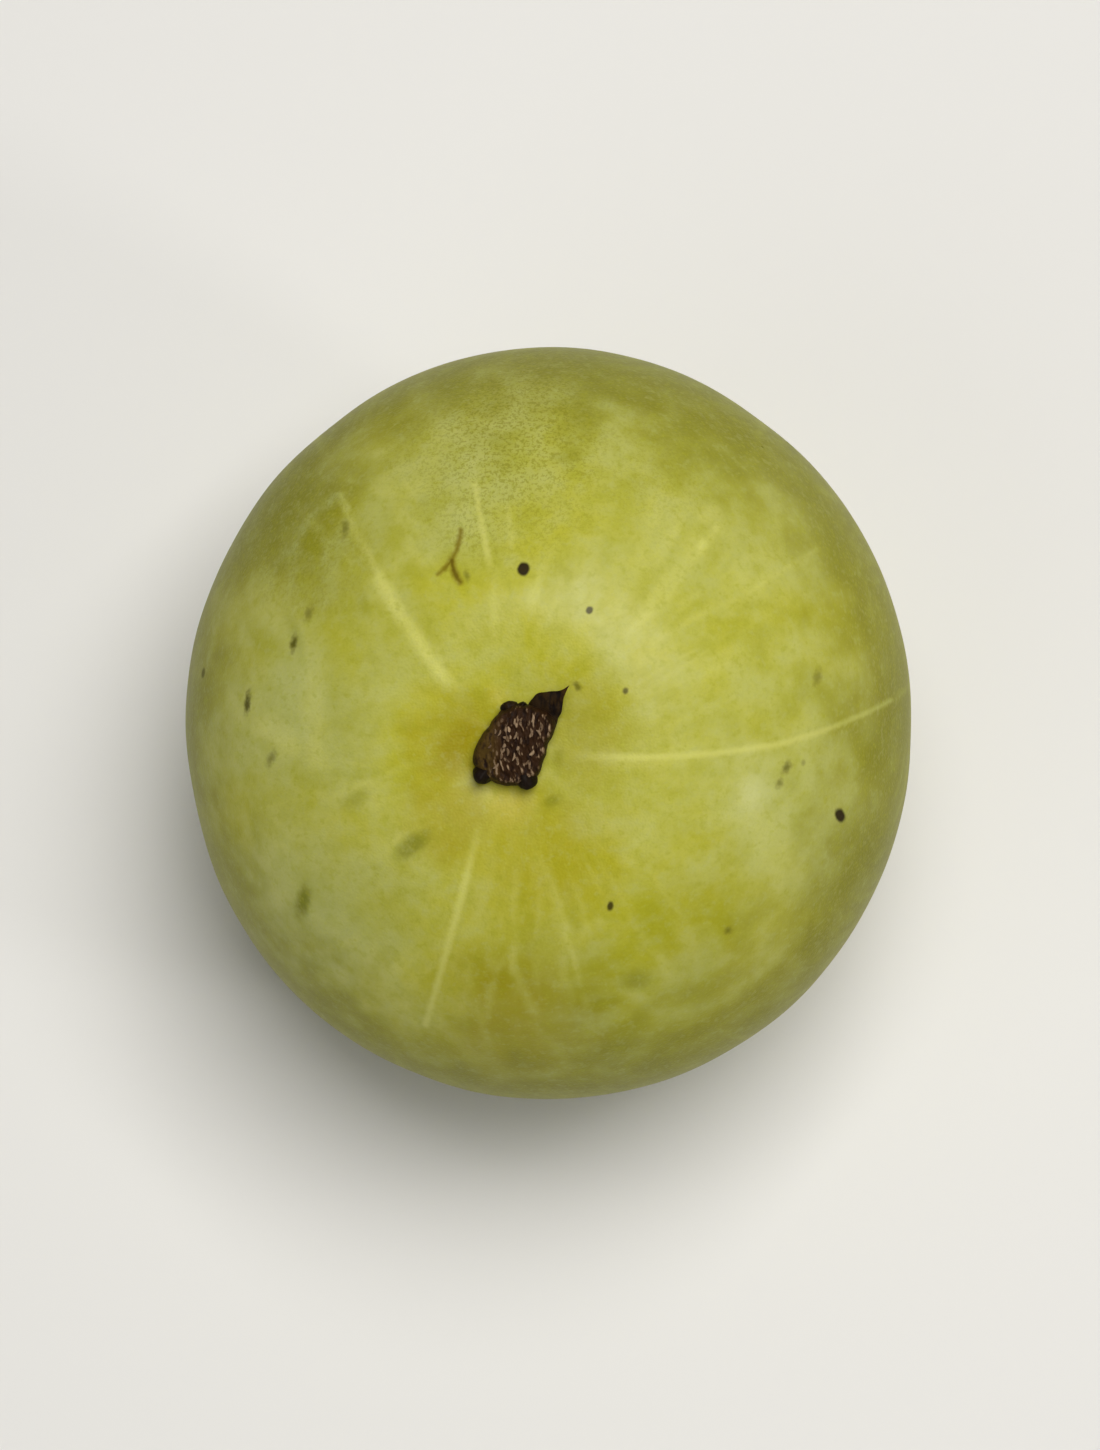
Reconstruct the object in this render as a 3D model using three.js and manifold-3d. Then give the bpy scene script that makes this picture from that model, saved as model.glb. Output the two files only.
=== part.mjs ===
// An Indian gooseberry (amla, Phyllanthus emblica), as picked, resting on a level surface.
//
// The fruit is a depressed globe: a little wider than it is tall, drawn in at the stem end by a
// shallow basin and at the flower end by a smaller dimple, with six faint furrows that run from one
// end to the other. On the round scar in the basin sits the dry stump of the stalk, widest at its
// foot, and out of its foot stand five of the six dried calyx lobes. The fruit leans towards the
// front and a little to the left, and rests on a small flat spot pressed into its underside.
//
// Units are millimetres, +Z is up and -Y is the front. The origin is the point of the rest spot
// that lies straight under the middle of the fruit.

import * as THREE from "three";
import { mergeVertices } from "three/addons/utils/BufferGeometryUtils.js";
import Module from "manifold-3d";

const wasm = await Module();
wasm.setup();

// --- Driving dimensions -------------------------------------------------------------------------

const FRUIT_WIDTH = 36.0; // side to side
const FRUIT_DEPTH = 37.2; // front to back
const FRUIT_HEIGHT = 33.6; // along the stem axis, before the two ends are drawn in
const SHOULDER_FULLNESS = 0.012; // how much fuller than an ellipse the shoulders are, as a share

const BASIN_DEPTH = 1.5; // at the stem end
const BASIN_SPREAD = 4.4; // distance from the axis at which the basin has faded to a third
const SCAR_RADIUS = 2.5; // the flat scar that the stump stands on
const DIMPLE_DEPTH = 0.5; // at the flower end
const DIMPLE_SPREAD = 1.6;

const FURROW_DIRECTIONS = [0, 54, 128, 192, 250, 302]; // degrees round the stem axis, from +X
const FURROW_DEPTH = 0.08;
const FURROW_HALF_WIDTH = 8; // degrees

const LEAN_FORWARD = 13; // degrees from upright
const LEAN_LEFT = 5.8;
const REST_SPOT_SINK = 0.28; // how far the round underside is flattened

// Distance from the stump's middle to the edge of its foot, every 30 degrees from +X.
const STUMP_OUTLINE = [1.54, 2.1, 1.9, 1.75, 1.55, 1.45, 1.75, 2.23, 2.14, 2.04, 1.87, 1.53];
const STUMP_HEIGHT = 1.5;
const STUMP_TOP_SHARE = 0.84; // the torn end, as a share of the foot
const STUMP_TOP_SHIFT = { x: 0.12, y: 0.05 }; // how far the torn end sits off the foot's middle
const STUMP_DOME = 0.14; // how much lower the torn end is at its edge than in its middle, as a share
const STUMP_TOP_SLANT = 0.1; // rise of the torn end per millimetre towards the back

// The dried lobes that remain: direction round the stem axis, distance of the foot and of the tip
// from the stump's middle, rise of the tip, thickness, and the widths to the left and to the right
// of the middle line, at equal steps from the foot to the tip.
const STUBBY = [0.22, 0.27, 0.28, 0.26, 0.2];
const BROAD_STUBBY = [0.33, 0.4, 0.42, 0.39, 0.31];
const KNOB = [0.36, 0.44, 0.47, 0.46, 0.38];
const CALYX_LOBES = [
  {
    direction: 46,
    foot: 1.35,
    tip: 3.73,
    rise: 0.85,
    thickness: 0.6,
    left: [0.75, 0.8, 0.72, 0.25, 0.04],
    right: [0.92, 0.76, 0.5, 0.23, 0.04],
  },
  { direction: 78, foot: 1.4, tip: 1.94, rise: 0.15, thickness: 1, left: STUBBY, right: STUBBY },
  {
    direction: 98,
    foot: 1.35,
    tip: 1.95,
    rise: 0.1,
    thickness: 1,
    left: BROAD_STUBBY,
    right: BROAD_STUBBY,
  },
  { direction: 225, foot: 1.7, tip: 2.54, rise: 0.05, thickness: 1.3, left: KNOB, right: KNOB },
  { direction: 288, foot: 1.4, tip: 2.27, rise: 0.05, thickness: 1.3, left: KNOB, right: KNOB },
];

const FRUIT_STEPS_ROUND = 84;
const FRUIT_STEPS_ALONG = 32;
const STUMP_STEPS_ROUND = 36;
const LOBE_STEPS_ROUND = 16;
const LOBE_STEPS_ALONG = 9;
const PART_GAP = 0.06; // left between neighbours, so that no two solids overlap

const { degToRad, radToDeg, euclideanModulo, lerp } = THREE.MathUtils;

// --- Materials ----------------------------------------------------------------------------------

const skinMaterial = new THREE.MeshStandardMaterial({
  name: "fruit_skin",
  color: new THREE.Color(0.5, 0.49, 0.1),
  roughness: 0.38,
  metalness: 0,
});
const stumpMaterial = new THREE.MeshStandardMaterial({
  name: "dry_stalk",
  color: new THREE.Color(0.1, 0.052, 0.022),
  roughness: 0.8,
  metalness: 0,
});
const calyxMaterial = new THREE.MeshStandardMaterial({
  name: "dry_calyx",
  color: new THREE.Color(0.03, 0.014, 0.01),
  roughness: 0.7,
  metalness: 0,
});

// --- Shapes -------------------------------------------------------------------------------------

// A closed surface through rings of equally many points, each end closed by one middle point. Seen
// from outside the first end, the rings run anticlockwise.
function closedLoft(firstMiddle, rings, lastMiddle) {
  const around = rings[0].length;
  const positions = [firstMiddle, ...rings.flat(), lastMiddle].flatMap((p) => p.toArray());
  const last = 1 + rings.length * around;
  const at = (ring, step) => 1 + ring * around + (step % around);
  const triangles = [];
  for (let step = 0; step < around; step++) {
    triangles.push(0, at(0, step), at(0, step + 1));
    for (let ring = 0; ring + 1 < rings.length; ring++) {
      const [a, b] = [at(ring, step), at(ring, step + 1)];
      const [c, d] = [at(ring + 1, step), at(ring + 1, step + 1)];
      triangles.push(a, c, b, b, c, d);
    }
    triangles.push(last, at(rings.length - 1, step + 1), at(rings.length - 1, step));
  }
  const geometry = new THREE.BufferGeometry();
  geometry.setAttribute("position", new THREE.Float32BufferAttribute(positions, 3));
  geometry.setIndex(triangles);
  geometry.computeVertexNormals();
  return geometry;
}

// A bell curve: 1 in the middle, about a third at `spread`.
const fading = (distance, spread) => Math.exp(-((distance / spread) ** 2));

// How deep the furrows are at this direction round the stem axis, from 0 to 1.
function furrowShare(direction) {
  const shares = FURROW_DIRECTIONS.map((furrow) => {
    const apart = euclideanModulo(direction - furrow + 180, 360) - 180;
    return fading(apart, FURROW_HALF_WIDTH);
  });
  return Math.max(...shares);
}

// A point of the skin. `fromStem` is 0 degrees at the stem end and 180 at the flower end.
function skinPoint(direction, fromStem) {
  const [t, u] = [degToRad(fromStem), degToRad(direction)];
  const furrow = (FURROW_DEPTH * furrowShare(direction) * Math.sin(t) ** 2) / (FRUIT_WIDTH / 2);
  const size = 1 + SHOULDER_FULLNESS * Math.sin(2 * t) ** 2 - furrow;
  const x = (FRUIT_WIDTH / 2) * Math.sin(t) * Math.cos(u) * size;
  const y = (FRUIT_DEPTH / 2) * Math.sin(t) * Math.sin(u) * size;
  const out = Math.hypot(x, y);
  const drawnIn =
    fromStem < 90
      ? -BASIN_DEPTH * fading(out, BASIN_SPREAD)
      : DIMPLE_DEPTH * fading(out, DIMPLE_SPREAD);
  return new THREE.Vector3(x, y, (FRUIT_HEIGHT / 2) * Math.cos(t) * size + drawnIn);
}

// Where the scar's edge lies, and how high the flat scar is above the fruit's middle.
const SCAR_FROM_STEM = radToDeg(Math.asin(SCAR_RADIUS / (FRUIT_WIDTH / 2)));
const SCAR_HEIGHT = skinPoint(0, SCAR_FROM_STEM).z;

// The whole fruit in its own frame: middle at the origin, stem end up.
function fruitGeometry() {
  const rings = [];
  for (let i = 0; i < FRUIT_STEPS_ALONG; i++) {
    const fromStem = lerp(SCAR_FROM_STEM, 180, i / FRUIT_STEPS_ALONG);
    const ring = [];
    for (let j = 0; j < FRUIT_STEPS_ROUND; j++) {
      const point = skinPoint((360 * j) / FRUIT_STEPS_ROUND, fromStem);
      if (i === 0) point.z = SCAR_HEIGHT;
      ring.push(point);
    }
    rings.push(ring);
  }
  return closedLoft(new THREE.Vector3(0, 0, SCAR_HEIGHT), rings, skinPoint(0, 180));
}

// A closed three.js geometry as a manifold-3d solid, and back.
function toSolid(geometry) {
  const bare = geometry.clone();
  bare.deleteAttribute("normal");
  bare.deleteAttribute("uv");
  const merged = mergeVertices(bare, 1e-4);
  return new wasm.Manifold(
    new wasm.Mesh({
      numProp: 3,
      vertProperties: new Float32Array(merged.attributes.position.array),
      triVerts: new Uint32Array(merged.index.array),
    }),
  );
}

function toGeometry(solid) {
  const mesh = solid.getMesh();
  const geometry = new THREE.BufferGeometry();
  geometry.setAttribute("position", new THREE.BufferAttribute(mesh.vertProperties, 3));
  geometry.setIndex(new THREE.BufferAttribute(mesh.triVerts, 1));
  geometry.computeVertexNormals();
  return geometry;
}

// The edge of the stump's foot, once round from +X.
const stumpOutline = new THREE.CatmullRomCurve3(
  STUMP_OUTLINE.map((radius, i) => {
    const u = degToRad((360 * i) / STUMP_OUTLINE.length);
    return new THREE.Vector3(radius * Math.cos(u), radius * Math.sin(u), 0);
  }),
  true,
);

// The stump: a steep wall up to a torn, slightly domed end. `grown` moves its surface outwards.
function stumpGeometry(grown = 0) {
  const ringAt = (up, share) =>
    Array.from({ length: STUMP_STEPS_ROUND }, (_, i) => {
      const p = stumpOutline.getPoint(i / STUMP_STEPS_ROUND);
      p.setLength(p.length() * share + grown);
      p.x += STUMP_TOP_SHIFT.x * up;
      p.y += STUMP_TOP_SHIFT.y * up;
      p.z = up * (STUMP_HEIGHT + STUMP_TOP_SLANT * p.y) + (up > 0 ? grown : -grown);
      return p;
    });
  const domeAt = (share) => 1 - STUMP_DOME * (share / STUMP_TOP_SHARE) ** 2;
  const topShares = [0.3, 0.6, 0.84].map((share) => share * STUMP_TOP_SHARE);
  const rings = [
    ...topShares.map((share) => ringAt(domeAt(share), share)),
    ringAt(domeAt(STUMP_TOP_SHARE), STUMP_TOP_SHARE),
    ringAt(0.7, lerp(STUMP_TOP_SHARE, 1, 0.45)),
    ringAt(0.35, lerp(STUMP_TOP_SHARE, 1, 0.8)),
    ringAt(0, 1),
  ];
  const middle = new THREE.Vector3(STUMP_TOP_SHIFT.x, STUMP_TOP_SHIFT.y, STUMP_HEIGHT + grown);
  return closedLoft(middle, rings, new THREE.Vector3(0, 0, -grown));
}

// One dried lobe: ovals along a curve that runs out along +X and curls up to the tip.
function lobeGeometry({ foot, tip, rise, thickness, left, right }) {
  const widest = Math.max(...left.map((width, i) => width + right[i]));
  const edge = (widths) => new THREE.SplineCurve(widths.map((w, i) => new THREE.Vector2(i, w)));
  const [leftEdge, rightEdge] = [edge(left), edge(right)];
  const ringAt = (along) => {
    const closing = Math.sqrt(1 - along ** 6);
    const toLeft = leftEdge.getPoint(along).y * closing;
    const toRight = rightEdge.getPoint(along).y * closing;
    const halfHeight = (thickness / 2) * Math.sqrt((toLeft + toRight) / widest);
    return Array.from({ length: LOBE_STEPS_ROUND }, (_, j) => {
      const v = (-2 * Math.PI * j) / LOBE_STEPS_ROUND;
      const y = (toLeft - toRight) / 2 + ((toLeft + toRight) / 2) * Math.cos(v);
      const z = thickness / 2 + rise * along ** 1.8 + halfHeight * Math.sin(v);
      return new THREE.Vector3(lerp(foot, tip, along), y, z);
    });
  };
  const rings = Array.from({ length: LOBE_STEPS_ALONG }, (_, i) =>
    ringAt(Math.sin((Math.PI / 2) * (i / LOBE_STEPS_ALONG))),
  );
  const footMiddle = new THREE.Vector3(foot, (left[0] - right[0]) / 2, thickness / 2);
  return closedLoft(footMiddle, rings, new THREE.Vector3(tip, 0, thickness / 2 + rise));
}

// --- Assembly -----------------------------------------------------------------------------------

const lean = new THREE.Matrix4().makeRotationFromEuler(
  new THREE.Euler(degToRad(LEAN_FORWARD), degToRad(-LEAN_LEFT), 0),
);

// The leaning fruit, its middle still at the origin, and the level of the rest spot below it.
const leaningFruit = fruitGeometry().applyMatrix4(lean);
leaningFruit.computeBoundingBox();
const restLevel = leaningFruit.boundingBox.min.z + REST_SPOT_SINK;

// A block under the rest level takes off the round of the underside.
const block = new THREE.BoxGeometry(FRUIT_WIDTH, FRUIT_DEPTH, FRUIT_HEIGHT);
block.translate(0, 0, restLevel - FRUIT_HEIGHT / 2);
const restingFruit = toSolid(leaningFruit).subtract(toSolid(block));

const fruit = new THREE.Mesh(toGeometry(restingFruit), skinMaterial);
fruit.name = "fruit";
fruit.position.z = -restLevel;

// What stands on the scar, in the fruit's own frame: the group carries the lean.
const stemEnd = new THREE.Group();
stemEnd.setRotationFromMatrix(lean);
stemEnd.position.set(0, 0, SCAR_HEIGHT + PART_GAP).applyMatrix4(lean);
stemEnd.position.z -= restLevel;

const stump = new THREE.Mesh(stumpGeometry(), stumpMaterial);
stump.name = "stem_stump";
stemEnd.add(stump);

// Each lobe hugs the stump: what would lie inside the stump, or nearer than the gap, is cut off.
const roundStump = toSolid(stumpGeometry(PART_GAP));
CALYX_LOBES.forEach((lobe, i) => {
  const wholeLobe = lobeGeometry(lobe).rotateZ(degToRad(lobe.direction));
  const mesh = new THREE.Mesh(toGeometry(toSolid(wholeLobe).subtract(roundStump)), calyxMaterial);
  mesh.name = `calyx_lobe_${i + 1}`;
  stemEnd.add(mesh);
});

const gooseberry = new THREE.Group();
gooseberry.name = "indian_gooseberry";
gooseberry.add(fruit, stemEnd);

export default gooseberry;
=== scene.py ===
# The looks of an Indian gooseberry (amla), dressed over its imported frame.
#
# Shapes are worked out in millimetres in the fruit's own frame: its middle at the origin and its
# stem end up. LEAN and MIDDLE then lay it on the table, where the frame holds it.

import math
import random

import bpy
import numpy as np
from mathutils import Matrix, Vector, noise


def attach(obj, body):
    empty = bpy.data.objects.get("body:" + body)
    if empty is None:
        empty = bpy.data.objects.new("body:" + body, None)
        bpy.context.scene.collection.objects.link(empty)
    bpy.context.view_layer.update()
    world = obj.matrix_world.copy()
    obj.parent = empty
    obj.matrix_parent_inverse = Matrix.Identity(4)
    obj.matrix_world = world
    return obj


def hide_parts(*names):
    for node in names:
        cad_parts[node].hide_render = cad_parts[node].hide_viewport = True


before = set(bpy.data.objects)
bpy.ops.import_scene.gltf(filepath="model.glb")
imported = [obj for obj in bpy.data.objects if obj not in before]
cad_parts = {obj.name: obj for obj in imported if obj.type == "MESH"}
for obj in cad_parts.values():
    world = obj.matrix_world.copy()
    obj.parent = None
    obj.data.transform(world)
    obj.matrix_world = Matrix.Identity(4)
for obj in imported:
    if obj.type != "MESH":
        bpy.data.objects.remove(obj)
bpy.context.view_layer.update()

MM = 0.001

# --- The fruit's dimensions, as in the solid ------------------------------------------------------

FRUIT_WIDTH = 36.0
FRUIT_DEPTH = 37.2
FRUIT_HEIGHT = 33.6
SHOULDER_FULLNESS = 0.012
BASIN_DEPTH = 1.5
BASIN_SPREAD = 4.4
SCAR_RADIUS = 2.5
DIMPLE_DEPTH = 0.5
DIMPLE_SPREAD = 1.6
FURROW_DIRECTIONS = (0, 54, 128, 192, 250, 302)  # degrees round the stem axis, from +X
FURROW_DEPTH = 0.08
FURROW_HALF_WIDTH = 8
REST_SPOT_SINK = 0.28

# Distance from the stump's middle to the edge of its foot, every 30 degrees from +X.
STUMP_OUTLINE = (1.54, 2.1, 1.9, 1.75, 1.55, 1.45, 1.75, 2.23, 2.14, 2.04, 1.87, 1.53)
STUMP_HEIGHT = 1.5
STUMP_TOP_SHARE = 0.84
STUMP_TOP_SHIFT = Vector((0.12, 0.05))
STUMP_DOME = 0.14  # how much lower the edge of the torn end is than its middle, as a share
STUMP_TOP_SLANT = 0.1  # rise of the torn end per millimetre towards the back

# The dried calyx lobes: direction round the stem, distance of the foot and of the tip from the
# stump's middle, rise of the tip, thickness, and the widths to the left and to the right of the
# middle line, at equal steps from the foot to the tip.
POINTED_LEFT = (0.75, 0.80, 0.72, 0.25, 0.04)
POINTED_RIGHT = (0.92, 0.76, 0.50, 0.23, 0.04)
STUBBY = (0.22, 0.27, 0.28, 0.26, 0.20)
BROAD_STUBBY = (0.33, 0.40, 0.42, 0.39, 0.31)
KNOB = (0.36, 0.44, 0.47, 0.46, 0.38)
CALYX_LOBES = (
    (46, 1.35, 3.73, 0.85, 0.60, POINTED_LEFT, POINTED_RIGHT),
    (78, 1.40, 1.94, 0.15, 1.00, STUBBY, STUBBY),
    (98, 1.35, 1.95, 0.10, 1.00, BROAD_STUBBY, BROAD_STUBBY),
    (225, 1.70, 2.54, 0.05, 1.30, KNOB, KNOB),
    (288, 1.40, 2.27, 0.05, 1.30, KNOB, KNOB),
)

LEAN = Matrix.Rotation(math.radians(13), 4, "X") @ Matrix.Rotation(math.radians(-5.8), 4, "Y")

# --- Camera, floor and light ----------------------------------------------------------------------

SUBJECT_HEIGHT = 0.0165  # the camera looks at the middle of the fruit
CAMERA_ELEVATION = 80  # degrees above the table
CAMERA_DISTANCE = 0.24
VIEW_HEIGHT = 0.072  # what the frame's long side takes in at the fruit
SENSOR = 36


def look_at(thing, target):
    """Turns a camera or lamp so that it faces the target."""
    thing.rotation_euler = (Vector(target) - thing.location).to_track_quat("-Z", "Y").to_euler()


def make_camera():
    """The camera, above the fruit and a little to its front."""
    data = bpy.data.cameras.new("camera")
    data.sensor_width = SENSOR
    data.lens = SENSOR * CAMERA_DISTANCE / VIEW_HEIGHT
    data.clip_start = 0.01
    camera = bpy.data.objects.new("camera", data)
    up = math.radians(CAMERA_ELEVATION)
    target = Vector((0, 0, SUBJECT_HEIGHT))
    camera.location = target + CAMERA_DISTANCE * Vector((0, -math.cos(up), math.sin(up)))
    bpy.context.scene.collection.objects.link(camera)
    look_at(camera, target)
    bpy.context.scene.camera = camera


def make_lamp(name, place, size, power, colour):
    """A square soft box that faces the fruit."""
    data = bpy.data.lights.new(name, "AREA")
    data.size = size
    data.energy = power
    data.color = colour
    lamp = bpy.data.objects.new(name, data)
    lamp.location = place
    bpy.context.scene.collection.objects.link(lamp)
    look_at(lamp, (0, 0, SUBJECT_HEIGHT))


def make_light():
    """A soft key from above, a cool fill, a small lamp for the sheen and a dim even surround."""
    key_place, fill_place, sheen_place = (0.07, 0.07, 0.48), (-0.30, -0.26, 0.34), (0.36, -0.15, 0.19)
    make_lamp("key_softbox", key_place, size=0.28, power=2.12, colour=(1.0, 0.985, 0.95))
    make_lamp("fill_softbox", fill_place, size=0.40, power=0.35, colour=(0.95, 0.98, 1.0))
    make_lamp("sheen_softbox", sheen_place, size=0.06, power=0.24, colour=(1.0, 0.99, 0.97))
    world = bpy.data.worlds.new("studio")
    world.use_nodes = True
    sky = world.node_tree.nodes["Background"]
    sky.inputs["Color"].default_value = (0.92, 0.94, 0.96, 1)
    sky.inputs["Strength"].default_value = 0.08
    bpy.context.scene.world = world
    bpy.context.scene.view_settings.view_transform = "Standard"


# --- Node trees -----------------------------------------------------------------------------------


class Graph:
    """Shorthand for a node tree: each call adds one node and returns what comes out of it."""

    def __init__(self, tree):
        self.tree = tree

    def node(self, kind, inputs=None, **settings):
        made = self.tree.nodes.new(kind)
        for name, value in settings.items():
            setattr(made, name, value)
        for key, value in (inputs or {}).items():
            self.feed(made.inputs[key], value)
        return made

    def feed(self, socket, value):
        if isinstance(value, bpy.types.NodeSocket):
            self.tree.links.new(value, socket)
        else:
            socket.default_value = value

    def maths(self, operation, *values, clamp=False):
        inputs = dict(enumerate(values))
        return self.node("ShaderNodeMath", inputs, operation=operation, use_clamp=clamp).outputs[0]

    def total(self, first, *rest):
        for value in rest:
            first = self.maths("ADD", first, value)
        return first

    def product(self, first, *rest):
        for value in rest:
            first = self.maths("MULTIPLY", first, value)
        return first

    def most(self, first, *rest):
        for value in rest:
            first = self.maths("MAXIMUM", first, value)
        return first

    def vector(self, operation, *values):
        made = self.node("ShaderNodeVectorMath", dict(enumerate(values)), operation=operation)
        scalar = operation in ("LENGTH", "DOT_PRODUCT", "DISTANCE")
        return made.outputs["Value" if scalar else "Vector"]

    def scaled(self, vector, share):
        inputs = {0: vector, "Scale": share}
        return self.node("ShaderNodeVectorMath", inputs, operation="SCALE").outputs["Vector"]

    def joined(self, x, y, z):
        return self.node("ShaderNodeCombineXYZ", {"X": x, "Y": y, "Z": z}).outputs[0]

    def split(self, vector):
        return self.node("ShaderNodeSeparateXYZ", {0: vector}).outputs

    def step(self, value, at_none, at_full):
        """0 at at_none and 1 at at_full, with a soft change between them."""
        inputs = {"Value": value, "From Min": at_none, "From Max": at_full}
        return self.node("ShaderNodeMapRange", inputs, interpolation_type="SMOOTHSTEP").outputs[0]

    def noise(self, where, scale, detail, roughness=0.5):
        inputs = {"Vector": where, "Scale": scale, "Detail": detail, "Roughness": roughness}
        return self.node("ShaderNodeTexNoise", inputs).outputs["Fac"]

    def cells(self, where, scale):
        """The distance to the middle of the nearest cell, and that cell's own random colour."""
        made = self.node("ShaderNodeTexVoronoi", {"Vector": where, "Scale": scale})
        return made.outputs["Distance"], made.outputs["Color"]

    def mix(self, share, without, full):
        made = self.node("ShaderNodeMix", {0: share}, data_type="RGBA")
        self.feed(made.inputs[6], without)
        self.feed(made.inputs[7], full)
        return made.outputs[2]

    def painted(self, colour, layers):
        """This colour under layers of (mask, colour), the last on top."""
        for share, tint in layers:
            colour = self.mix(share, colour, tint)
        return colour

    def group(self, tree, inputs):
        return self.node("ShaderNodeGroup", inputs, node_tree=tree).outputs


def make_group(name, inputs, outputs):
    """A node group with these sockets, as its Graph, its inputs and its output node."""
    tree = bpy.data.node_groups.new(name, "ShaderNodeTree")
    for socket, kind in inputs.items():
        tree.interface.new_socket(socket, in_out="INPUT", socket_type="NodeSocket" + kind)
    for socket, kind in outputs.items():
        tree.interface.new_socket(socket, in_out="OUTPUT", socket_type="NodeSocket" + kind)
    graph = Graph(tree)
    return graph, graph.node("NodeGroupInput").outputs, graph.node("NodeGroupOutput")


def make_material(name):
    """A material with one Principled shader, as its Graph and the shader."""
    material = bpy.data.materials.new(name)
    material.use_nodes = True
    graph = Graph(material.node_tree)
    return material, graph, material.node_tree.nodes["Principled BSDF"]


def rgb(red, green, blue):
    """An opaque colour, in linear light."""
    return (red, green, blue, 1.0)


# --- Shader groups --------------------------------------------------------------------------------


def place_on_fruit(graph):
    """Where the shaded point is in the fruit's own frame, in millimetres."""
    where = graph.node("ShaderNodeTexCoord").outputs["Object"]
    inputs = {"Vector": where, "Location": MIDDLE, "Rotation": LEAN.to_euler(), "Scale": (MM, MM, MM)}
    mapping = graph.tree.nodes.new("ShaderNodeMapping")
    mapping.vector_type = "TEXTURE"
    for name, value in inputs.items():
        graph.feed(mapping.inputs[name], value)
    return mapping.outputs[0]


def seen_from_stem(graph, place):
    """The place as seen from the stem end, and how far round from there it lies, in radians. The
    flower half gets a huge Z, so that no mark of the stem end falls on it."""
    x, y, z = graph.split(place)
    flower_half = graph.maths("LESS_THAN", z, -1.0)
    plan = graph.joined(x, y, graph.product(flower_half, 1000))
    unit = graph.vector("NORMALIZE", place)
    return plan, graph.maths("ARCCOSINE", graph.split(unit)[2])


def make_stroke():
    """A soft stroke along a span, bowed to its side and tapering to its end. Ahead is the span
    divided by its squared length, and Start is how strong the stroke is where it starts."""
    inputs = {
        "Place": "Vector",
        "From": "Vector",
        "Span": "Vector",
        "Ahead": "Vector",
        "Side": "Vector",
        "Half Width": "Float",
        "Taper": "Float",
        "Start": "Float",
        "Ragged": "Float",
    }
    graph, given, out = make_group("stroke", inputs, {"Mask": "Float"})
    away = graph.vector("SUBTRACT", given["Place"], given["From"])
    share = graph.maths("ADD", graph.vector("DOT_PRODUCT", away, given["Ahead"]), 0, clamp=True)
    arch = graph.product(share, graph.maths("SUBTRACT", 1, share))
    bowed = graph.scaled(given["Side"], arch)
    on_line = graph.vector("ADD", graph.scaled(given["Span"], share), bowed)
    distance = graph.total(graph.vector("DISTANCE", away, on_line), given["Ragged"])
    kept = graph.maths("SUBTRACT", 1, graph.product(given["Taper"], share))
    body = graph.step(distance, graph.product(given["Half Width"], kept), 0.0)
    risen = {"Value": share, "From Max": 0.25, "To Min": given["Start"]}
    started = graph.node("ShaderNodeMapRange", risen).outputs[0]
    graph.feed(out.inputs["Mask"], graph.product(body, kept, started))
    return out.id_data


def make_blot():
    """A soft oval spot. Along is the way it points, shortened by how much wider than long it is."""
    inputs = {
        "Place": "Vector",
        "Middle": "Vector",
        "Along": "Vector",
        "Edge": "Float",
        "Core": "Float",
        "Ragged": "Float",
    }
    graph, given, out = make_group("blot", inputs, {"Mask": "Float"})
    away = graph.vector("SUBTRACT", given["Place"], given["Middle"])
    ahead = graph.scaled(given["Along"], graph.vector("DOT_PRODUCT", away, given["Along"]))
    distance = graph.vector("LENGTH", graph.vector("SUBTRACT", away, ahead))
    spread = graph.total(distance, given["Ragged"])
    graph.feed(out.inputs["Mask"], graph.step(spread, given["Edge"], given["Core"]))
    return out.id_data


def make_scattered_specks():
    """Small round specks strewn over the whole skin, in a share of the cells of a loose lattice."""
    inputs = {"Place": "Vector", "Spacing": "Float", "Size": "Float", "Share": "Float"}
    graph, given, out = make_group("scattered_specks", inputs, {"Mask": "Float"})
    scale = graph.maths("DIVIDE", 1, given["Spacing"])
    distance, colour = graph.cells(given["Place"], scale)
    red, green, _ = graph.split(colour)
    chosen = graph.maths("LESS_THAN", red, given["Share"])
    size = graph.product(given["Size"], scale, graph.maths("ADD", green, 0.4))
    speck = graph.step(distance, size, graph.product(size, 0.55))
    graph.feed(out.inputs["Mask"], graph.product(chosen, speck))
    return out.id_data


# --- Fruit shape ----------------------------------------------------------------------------------


def soft_step(value, at_none, at_full):
    """0 at at_none and 1 at at_full, with a soft change between them."""
    share = np.clip((value - at_none) / (at_full - at_none), 0, 1)
    return share * share * (3 - 2 * share)


def bell(distance, spread):
    """1 in the middle, about a third at spread."""
    return np.exp(-((distance / spread) ** 2))


def furrow_share(direction):
    """How deep the furrows are in this direction round the stem, from 0 to 1."""
    apart = [(np.degrees(direction) - furrow + 180) % 360 - 180 for furrow in FURROW_DIRECTIONS]
    return np.max([bell(a, FURROW_HALF_WIDTH) for a in apart], axis=0)


def skin_points(direction, from_stem):
    """Points of the skin's main shape, for arrays of angles in radians."""
    furrow = FURROW_DEPTH * furrow_share(direction) * np.sin(from_stem) ** 2 / (FRUIT_WIDTH / 2)
    size = 1 + SHOULDER_FULLNESS * np.sin(2 * from_stem) ** 2 - furrow
    x = FRUIT_WIDTH / 2 * np.sin(from_stem) * np.cos(direction) * size
    y = FRUIT_DEPTH / 2 * np.sin(from_stem) * np.sin(direction) * size
    out = np.hypot(x, y)
    basin = BASIN_DEPTH * bell(np.maximum(out, SCAR_RADIUS), BASIN_SPREAD)
    dimple = DIMPLE_DEPTH * bell(out, DIMPLE_SPREAD)
    drawn_in = np.where(from_stem < math.pi / 2, -basin, dimple)
    z = FRUIT_HEIGHT / 2 * np.cos(from_stem) * size + drawn_in
    on_scar = (out < SCAR_RADIUS) & (z > 0)
    return np.stack([x, y, np.where(on_scar, SCAR_HEIGHT, z)], axis=-1)


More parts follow.
